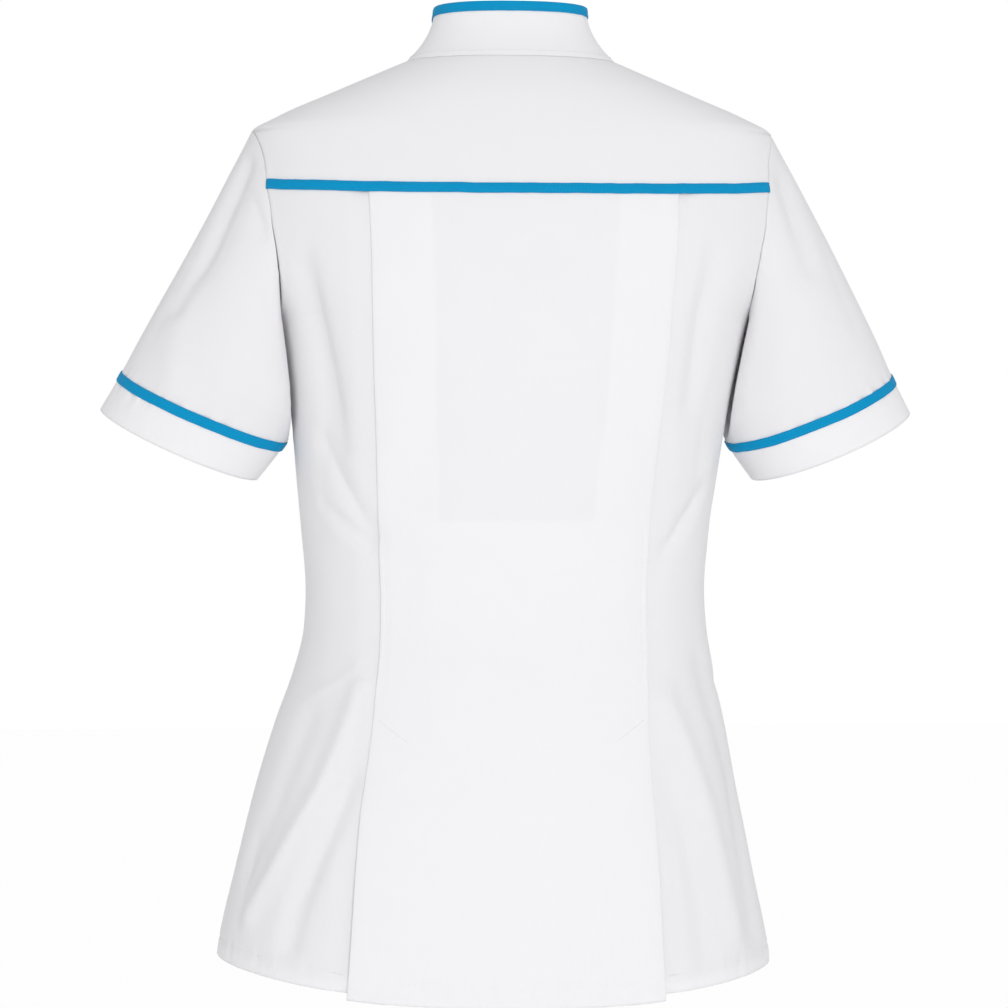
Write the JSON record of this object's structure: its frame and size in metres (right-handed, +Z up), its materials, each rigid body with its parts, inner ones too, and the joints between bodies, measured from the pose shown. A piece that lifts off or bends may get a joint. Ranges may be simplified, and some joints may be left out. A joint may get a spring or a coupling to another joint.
{
  "type": "medical tunic, worn form with no wearer",
  "caption": "Hollow worn-form women's medical tunic with stand collar, back yoke, action pleats, hem vents, short sleeves and a front zip.",
  "frame": {"origin": "between the shoulders at the height of the neck seam, where the wearer holds the tunic up", "axes": "+Z up the tunic, +Y out of the front, +X towards the wearer's right; the back faces -Y"},
  "size_m": [0.6095, 0.2727, 0.7306],
  "materials": {
    "white_polycotton": "plain white polycotton, fine twill weave, matt",
    "aqua_trim": "aqua blue bias binding with a faint sheen",
    "zip_tape": "white woven zip tape",
    "zip_metal": "bright plated zinc"
  },
  "bodies": {
    "tunic": {"back_yoke": "white_polycotton", "centre_back": "white_polycotton", "side_back_left": "white_polycotton", "side_back_right": "white_polycotton", "front_left": "white_polycotton", "front_right": "white_polycotton", "sleeve_left": "white_polycotton", "sleeve_right": "white_polycotton", "sleeve_band_left": "white_polycotton", "sleeve_band_right": "white_polycotton", "collar_stand": "white_polycotton", "collar_binding": "aqua_trim", "yoke_trim": "aqua_trim", "sleeve_trim_left": "aqua_trim", "sleeve_trim_right": "aqua_trim", "zip_tape_left": "zip_tape", "zip_tape_right": "zip_tape", "zip_slider": "zip_metal"},
    "pull": {"zip_pull": "zip_metal"}
  },
  "joints": [
    {"name": "pull_swing", "type": "hinge", "parent": "tunic", "child": "pull", "pos_m": [0.00621, 0.07979, -0.08928], "axis": [1, 0, 0], "range_deg": [0, 150]}
  ]
}
